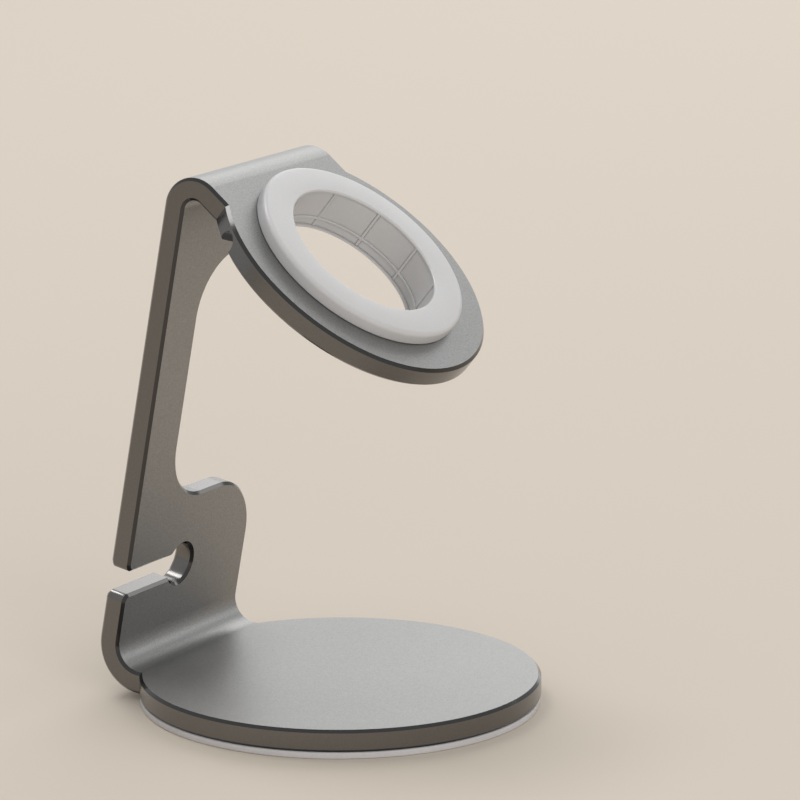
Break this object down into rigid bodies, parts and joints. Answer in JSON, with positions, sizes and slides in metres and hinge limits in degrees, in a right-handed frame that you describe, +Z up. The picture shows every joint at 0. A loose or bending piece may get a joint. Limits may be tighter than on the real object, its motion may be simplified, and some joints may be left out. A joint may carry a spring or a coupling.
{
  "type": "smartwatch charging stand",
  "caption": "A stand bent from metal plate: a round base, a leaning upright with a cut-out for the strap, and a round head that slopes down to the front and has a soft ring to hold a watch's charging puck.",
  "frame": {"origin": "Centre of the round base, on the surface that the stand rests on.", "axes": "+Z up. -Y is the front, which the head slopes down to. +X is the viewer's right from the front, and the side that the strap window opens to."},
  "size_m": [0.0692, 0.0719, 0.0926],
  "materials": {
    "aluminium": "bead-blasted and anodised in a dark grey, with cut chamfers",
    "ring_silicone": "matte pale grey silicone",
    "pad_silicone": "matte grey silicone"
  },
  "bodies": {
    "root": {"stand_frame": "aluminium", "grip_ring": "ring_silicone", "base_pad": "pad_silicone"}
  },
  "joints": []
}
